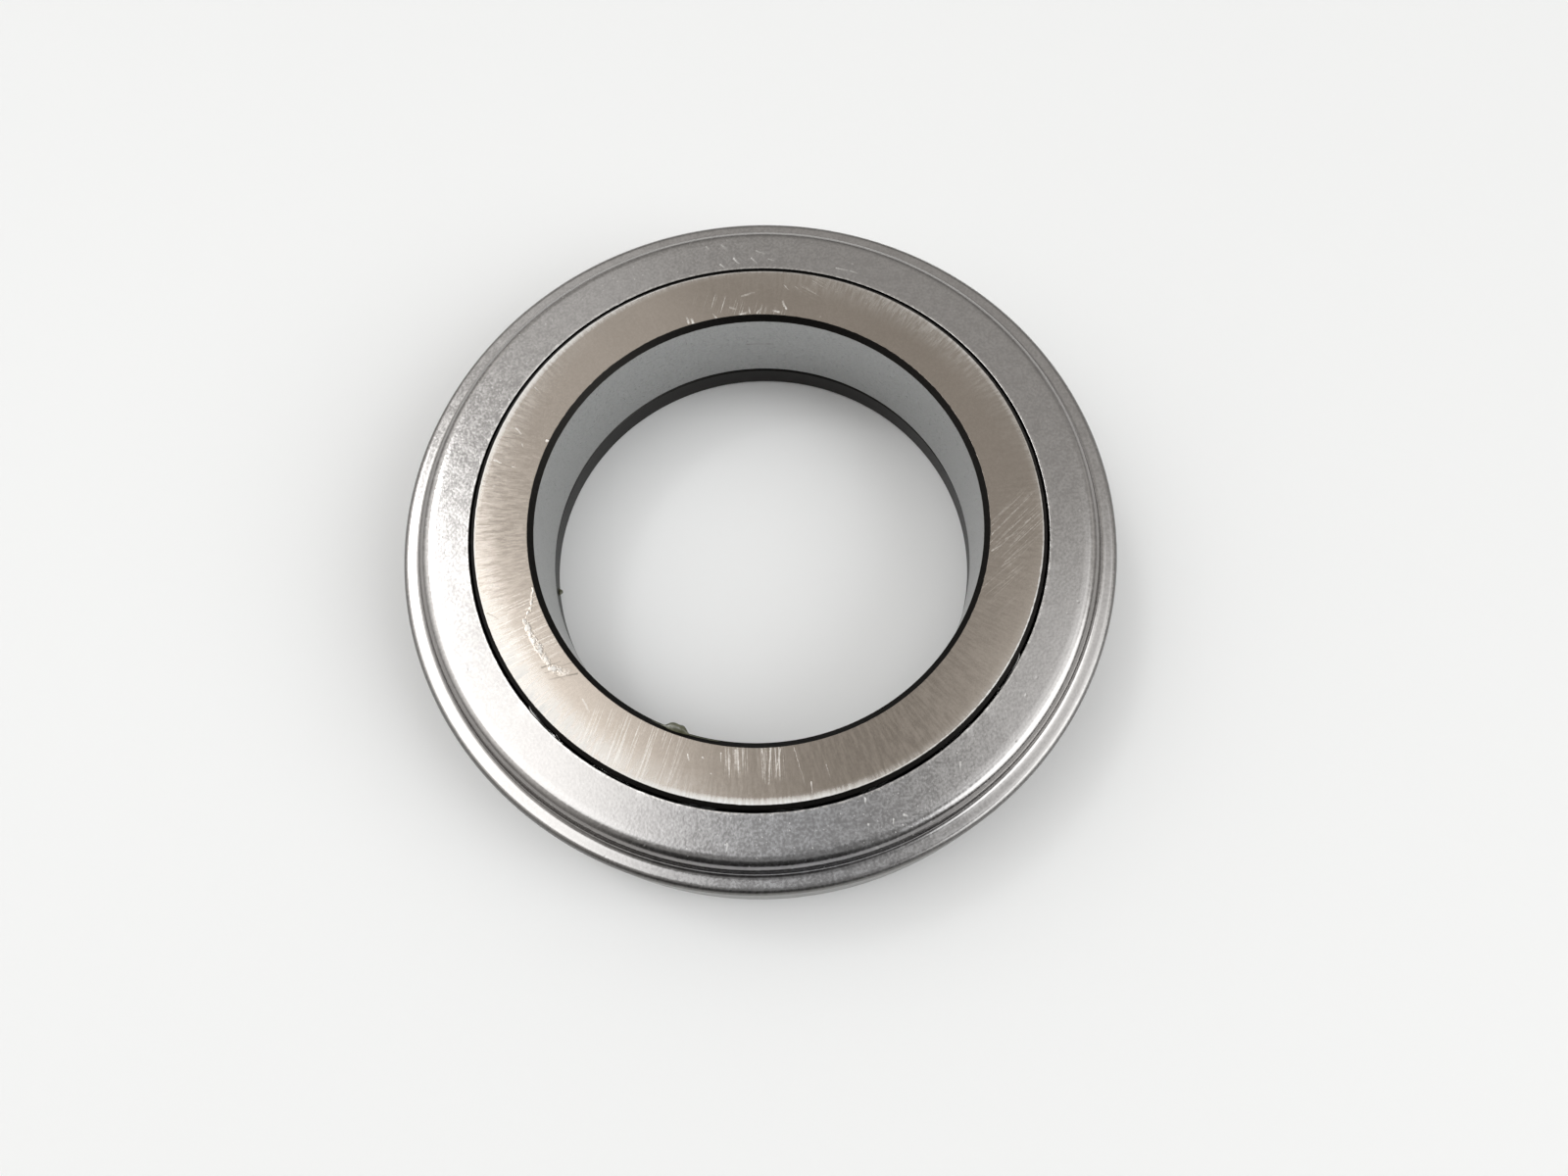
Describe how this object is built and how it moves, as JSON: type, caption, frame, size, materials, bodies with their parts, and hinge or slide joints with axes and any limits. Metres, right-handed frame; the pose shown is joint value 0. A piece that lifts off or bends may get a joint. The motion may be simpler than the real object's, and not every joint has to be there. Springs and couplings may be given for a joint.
{
  "type": "clutch release bearing",
  "caption": "Angular contact ball bearing in a stepped pressed-steel shroud, pressed on a sliding carrier and pushed against spinning clutch levers to release a clutch.",
  "frame": {"origin": "centre of the flat thrust face, on which the bearing lies", "axes": "+Z along the bearing's axis, from the thrust face up to the ground abutment face of the hub ring"},
  "size_m": [0.1048, 0.1048, 0.0206],
  "materials": {
    "ground_steel": "ground, scratched",
    "race_steel": "heat treated, thrust face ground",
    "shroud_steel": "pressed sheet, satin",
    "ball_steel": "polished",
    "cage_steel": "pressed sheet, oiled"
  },
  "bodies": {
    "hub": {"hub_ring": "ground_steel"},
    "thrust": {"thrust_race": "race_steel", "shroud": "shroud_steel"},
    "cage": {"ball_cage": "cage_steel"},
    "ball_01": {"ball_01": "ball_steel"},
    "ball_02": {"ball_02": "ball_steel"},
    "ball_03": {"ball_03": "ball_steel"},
    "ball_04": {"ball_04": "ball_steel"},
    "ball_05": {"ball_05": "ball_steel"},
    "ball_06": {"ball_06": "ball_steel"},
    "ball_07": {"ball_07": "ball_steel"},
    "ball_08": {"ball_08": "ball_steel"},
    "ball_09": {"ball_09": "ball_steel"},
    "ball_10": {"ball_10": "ball_steel"},
    "ball_11": {"ball_11": "ball_steel"},
    "ball_12": {"ball_12": "ball_steel"},
    "ball_13": {"ball_13": "ball_steel"},
    "ball_14": {"ball_14": "ball_steel"},
    "ball_15": {"ball_15": "ball_steel"},
    "ball_16": {"ball_16": "ball_steel"},
    "ball_17": {"ball_17": "ball_steel"},
    "ball_18": {"ball_18": "ball_steel"},
    "ball_19": {"ball_19": "ball_steel"},
    "ball_20": {"ball_20": "ball_steel"}
  },
  "joints": [
    {"name": "race_spin", "type": "hinge", "parent": "hub", "child": "thrust", "pos_m": [0, 0, 0.01011], "axis": [0, 0, 1], "continuous": true},
    {"name": "cage_orbit", "type": "hinge", "parent": "hub", "child": "cage", "pos_m": [0, 0, 0.01011], "axis": [0, 0, 1], "continuous": true},
    {"name": "ball_01_roll", "type": "hinge", "parent": "cage", "child": "ball_01", "pos_m": [0.04249, 0, 0.01011], "axis": [0.7071, 0, 0.7071], "continuous": true},
    {"name": "ball_02_roll", "type": "hinge", "parent": "cage", "child": "ball_02", "pos_m": [0.04041, 0.01313, 0.01011], "axis": [0.6725, 0.2185, 0.7071], "continuous": true},
    {"name": "ball_03_roll", "type": "hinge", "parent": "cage", "child": "ball_03", "pos_m": [0.03438, 0.02498, 0.01011], "axis": [0.5721, 0.4156, 0.7071], "continuous": true},
    {"name": "ball_04_roll", "type": "hinge", "parent": "cage", "child": "ball_04", "pos_m": [0.02498, 0.03438, 0.01011], "axis": [0.4156, 0.5721, 0.7071], "continuous": true},
    {"name": "ball_05_roll", "type": "hinge", "parent": "cage", "child": "ball_05", "pos_m": [0.01313, 0.04041, 0.01011], "axis": [0.2185, 0.6725, 0.7071], "continuous": true},
    {"name": "ball_06_roll", "type": "hinge", "parent": "cage", "child": "ball_06", "pos_m": [0, 0.04249, 0.01011], "axis": [0, 0.7071, 0.7071], "continuous": true},
    {"name": "ball_07_roll", "type": "hinge", "parent": "cage", "child": "ball_07", "pos_m": [-0.01313, 0.04041, 0.01011], "axis": [-0.2185, 0.6725, 0.7071], "continuous": true},
    {"name": "ball_08_roll", "type": "hinge", "parent": "cage", "child": "ball_08", "pos_m": [-0.02498, 0.03438, 0.01011], "axis": [-0.4156, 0.5721, 0.7071], "continuous": true},
    {"name": "ball_09_roll", "type": "hinge", "parent": "cage", "child": "ball_09", "pos_m": [-0.03438, 0.02498, 0.01011], "axis": [-0.5721, 0.4156, 0.7071], "continuous": true},
    {"name": "ball_10_roll", "type": "hinge", "parent": "cage", "child": "ball_10", "pos_m": [-0.04041, 0.01313, 0.01011], "axis": [-0.6725, 0.2185, 0.7071], "continuous": true},
    {"name": "ball_11_roll", "type": "hinge", "parent": "cage", "child": "ball_11", "pos_m": [-0.04249, 0, 0.01011], "axis": [-0.7071, 0, 0.7071], "continuous": true},
    {"name": "ball_12_roll", "type": "hinge", "parent": "cage", "child": "ball_12", "pos_m": [-0.04041, -0.01313, 0.01011], "axis": [-0.6725, -0.2185, 0.7071], "continuous": true},
    {"name": "ball_13_roll", "type": "hinge", "parent": "cage", "child": "ball_13", "pos_m": [-0.03438, -0.02498, 0.01011], "axis": [-0.5721, -0.4156, 0.7071], "continuous": true},
    {"name": "ball_14_roll", "type": "hinge", "parent": "cage", "child": "ball_14", "pos_m": [-0.02498, -0.03438, 0.01011], "axis": [-0.4156, -0.5721, 0.7071], "continuous": true},
    {"name": "ball_15_roll", "type": "hinge", "parent": "cage", "child": "ball_15", "pos_m": [-0.01313, -0.04041, 0.01011], "axis": [-0.2185, -0.6725, 0.7071], "continuous": true},
    {"name": "ball_16_roll", "type": "hinge", "parent": "cage", "child": "ball_16", "pos_m": [0, -0.04249, 0.01011], "axis": [0, -0.7071, 0.7071], "continuous": true},
    {"name": "ball_17_roll", "type": "hinge", "parent": "cage", "child": "ball_17", "pos_m": [0.01313, -0.04041, 0.01011], "axis": [0.2185, -0.6725, 0.7071], "continuous": true},
    {"name": "ball_18_roll", "type": "hinge", "parent": "cage", "child": "ball_18", "pos_m": [0.02498, -0.03438, 0.01011], "axis": [0.4156, -0.5721, 0.7071], "continuous": true},
    {"name": "ball_19_roll", "type": "hinge", "parent": "cage", "child": "ball_19", "pos_m": [0.03438, -0.02498, 0.01011], "axis": [0.5721, -0.4156, 0.7071], "continuous": true},
    {"name": "ball_20_roll", "type": "hinge", "parent": "cage", "child": "ball_20", "pos_m": [0.04041, -0.01313, 0.01011], "axis": [0.6725, -0.2185, 0.7071], "continuous": true}
  ],
  "couplings": [
    {"joint": "cage_orbit", "follows": "race_spin", "ratio": 0.54623},
    {"joint": "ball_01_roll", "follows": "race_spin", "ratio": 3.791},
    {"joint": "ball_02_roll", "follows": "race_spin", "ratio": 3.791},
    {"joint": "ball_03_roll", "follows": "race_spin", "ratio": 3.791},
    {"joint": "ball_04_roll", "follows": "race_spin", "ratio": 3.791},
    {"joint": "ball_05_roll", "follows": "race_spin", "ratio": 3.791},
    {"joint": "ball_06_roll", "follows": "race_spin", "ratio": 3.791},
    {"joint": "ball_07_roll", "follows": "race_spin", "ratio": 3.791},
    {"joint": "ball_08_roll", "follows": "race_spin", "ratio": 3.791},
    {"joint": "ball_09_roll", "follows": "race_spin", "ratio": 3.791},
    {"joint": "ball_10_roll", "follows": "race_spin", "ratio": 3.791},
    {"joint": "ball_11_roll", "follows": "race_spin", "ratio": 3.791},
    {"joint": "ball_12_roll", "follows": "race_spin", "ratio": 3.791},
    {"joint": "ball_13_roll", "follows": "race_spin", "ratio": 3.791},
    {"joint": "ball_14_roll", "follows": "race_spin", "ratio": 3.791},
    {"joint": "ball_15_roll", "follows": "race_spin", "ratio": 3.791},
    {"joint": "ball_16_roll", "follows": "race_spin", "ratio": 3.791},
    {"joint": "ball_17_roll", "follows": "race_spin", "ratio": 3.791},
    {"joint": "ball_18_roll", "follows": "race_spin", "ratio": 3.791},
    {"joint": "ball_19_roll", "follows": "race_spin", "ratio": 3.791},
    {"joint": "ball_20_roll", "follows": "race_spin", "ratio": 3.791}
  ]
}
